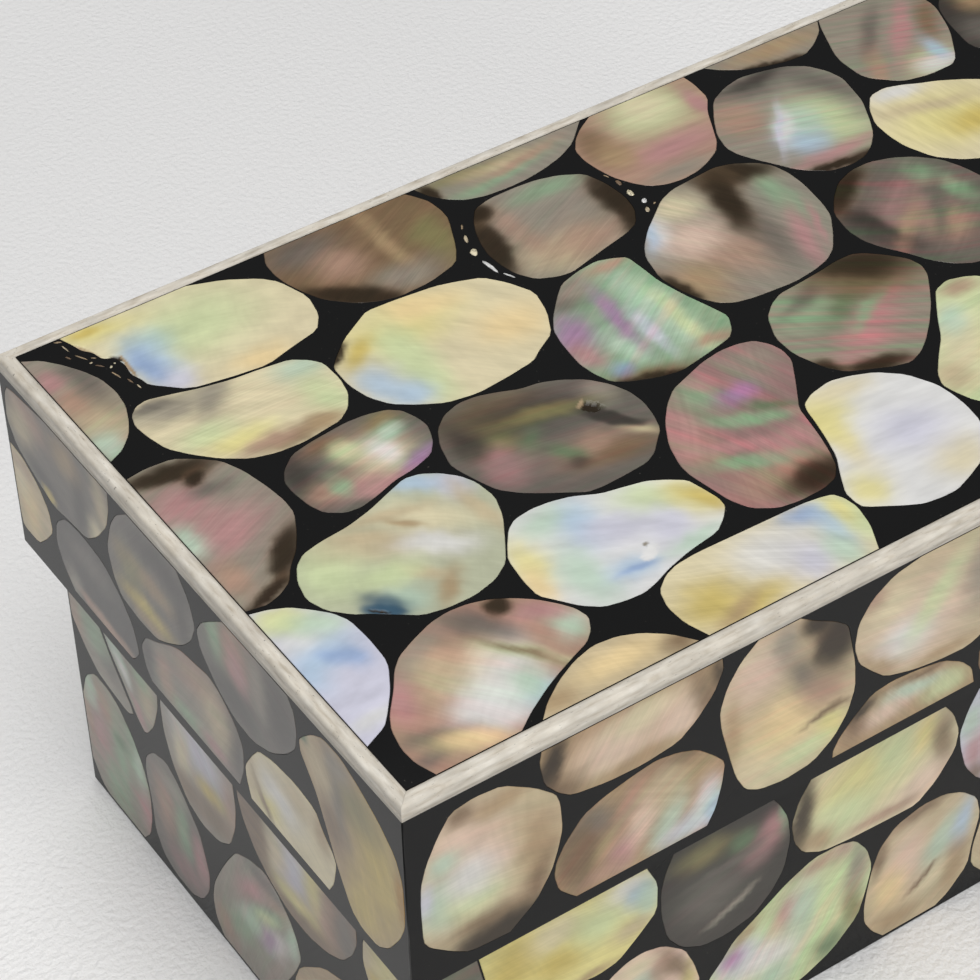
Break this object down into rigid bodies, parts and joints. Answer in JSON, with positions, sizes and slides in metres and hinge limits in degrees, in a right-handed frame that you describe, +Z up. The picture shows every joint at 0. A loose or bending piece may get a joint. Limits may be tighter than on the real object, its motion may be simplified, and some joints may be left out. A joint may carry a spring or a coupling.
{
  "type": "shell inlaid box",
  "caption": "Lidded storage box faced with polished mother-of-pearl pebbles set flush in black resin, its lift-off lid edged with bone strips.",
  "frame": {"origin": "under the middle of the base, on the surface the box stands on", "axes": "+X along the box's length, -Y out of its front face, +Z up"},
  "size_m": [0.3, 0.15, 0.1235],
  "materials": {
    "black_resin_case": "wooden case under black resin, polished",
    "nacre": "mother-of-pearl, ground flat and polished",
    "bone": "cut bone, sanded"
  },
  "bodies": {
    "root": {"lid": "black_resin_case", "base": "black_resin_case", "top_shell_01": "nacre", "top_shell_02": "nacre", "top_shell_03": "nacre", "top_shell_04": "nacre", "top_shell_05": "nacre", "top_shell_06": "nacre", "top_shell_07": "nacre", "top_shell_08": "nacre", "top_shell_09": "nacre", "top_shell_10": "nacre", "top_shell_11": "nacre", "top_shell_12": "nacre", "top_shell_13": "nacre", "top_shell_14": "nacre", "top_shell_15": "nacre", "top_shell_16": "nacre", "top_shell_17": "nacre", "top_shell_18": "nacre", "top_shell_19": "nacre", "top_shell_20": "nacre", "top_shell_21": "nacre", "top_shell_22": "nacre", "top_shell_23": "nacre", "top_shell_24": "nacre", "top_shell_25": "nacre", "top_shell_26": "nacre", "top_shell_27": "nacre", "top_shell_28": "nacre", "top_shell_29": "nacre", "top_shell_30": "nacre", "top_shell_31": "nacre", "top_shell_32": "nacre", "top_shell_33": "nacre", "top_shell_34": "nacre", "top_shell_35": "nacre", "top_shell_36": "nacre", "top_shell_37": "nacre", "top_shell_38": "nacre", "top_shell_39": "nacre", "top_shell_40": "nacre", "top_shell_41": "nacre", "top_shell_42": "nacre", "top_shell_43": "nacre", "top_shell_44": "nacre", "top_shell_45": "nacre", "lid_front_shells": "nacre", "lid_back_shells": "nacre", "lid_left_shells": "nacre", "lid_right_shells": "nacre", "base_front_shells": "nacre", "base_back_shells": "nacre", "base_left_shells": "nacre", "base_right_shells": "nacre", "bone_strip_front": "bone", "bone_strip_back": "bone", "bone_strip_left": "bone", "bone_strip_right": "bone"}
  },
  "joints": []
}
